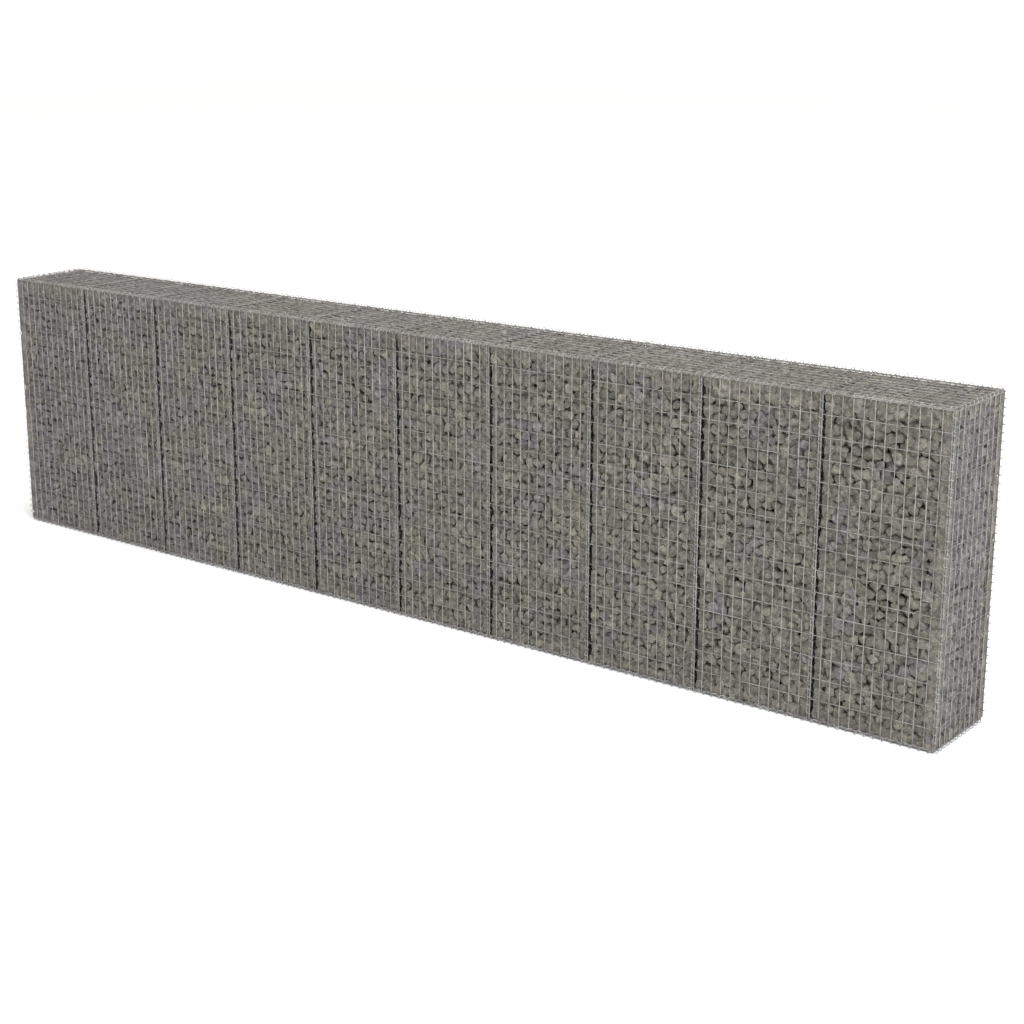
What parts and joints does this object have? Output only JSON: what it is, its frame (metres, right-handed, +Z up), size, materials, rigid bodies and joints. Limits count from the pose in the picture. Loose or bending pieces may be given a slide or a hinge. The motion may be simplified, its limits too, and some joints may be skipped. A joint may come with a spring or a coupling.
{
  "type": "gabion wall",
  "caption": "Free-standing gabion wall: a row of welded-mesh baskets filled with broken stone, bound with spiral wire and closed with mesh lids.",
  "frame": {"origin": "on the ground, midway along the wall and midway through it", "axes": "+X runs along the wall, +Y runs through it from the front face to the back face, +Z is up"},
  "size_m": [6.0232, 0.5232, 1.5235],
  "materials": {
    "mesh_wire": "satin",
    "spiral_wire": "satin",
    "stone": "matte"
  },
  "bodies": {
    "root": {"front_panel_01": "mesh_wire", "front_panel_02": "mesh_wire", "front_panel_03": "mesh_wire", "front_panel_04": "mesh_wire", "front_panel_05": "mesh_wire", "front_panel_06": "mesh_wire", "front_panel_07": "mesh_wire", "front_panel_08": "mesh_wire", "front_panel_09": "mesh_wire", "front_panel_10": "mesh_wire", "back_panel_01": "mesh_wire", "back_panel_02": "mesh_wire", "back_panel_03": "mesh_wire", "back_panel_04": "mesh_wire", "back_panel_05": "mesh_wire", "back_panel_06": "mesh_wire", "back_panel_07": "mesh_wire", "back_panel_08": "mesh_wire", "back_panel_09": "mesh_wire", "back_panel_10": "mesh_wire", "end_panel_left": "mesh_wire", "end_panel_right": "mesh_wire", "dividers_left": "mesh_wire", "dividers_middle": "mesh_wire", "dividers_right": "mesh_wire", "lids_left": "mesh_wire", "lids_right": "mesh_wire", "base_panels_left": "mesh_wire", "base_panels_right": "mesh_wire", "stone_fill_01": "stone", "stone_fill_02": "stone", "stone_fill_03": "stone", "stone_fill_04": "stone", "stone_fill_05": "stone", "stone_fill_06": "stone", "stone_fill_07": "stone", "stone_fill_08": "stone", "stone_fill_09": "stone", "stone_fill_10": "stone", "front_joint_spirals": "spiral_wire", "back_joint_spirals": "spiral_wire", "corner_spirals": "spiral_wire", "top_spirals": "spiral_wire", "base_spirals": "spiral_wire"}
  },
  "joints": []
}
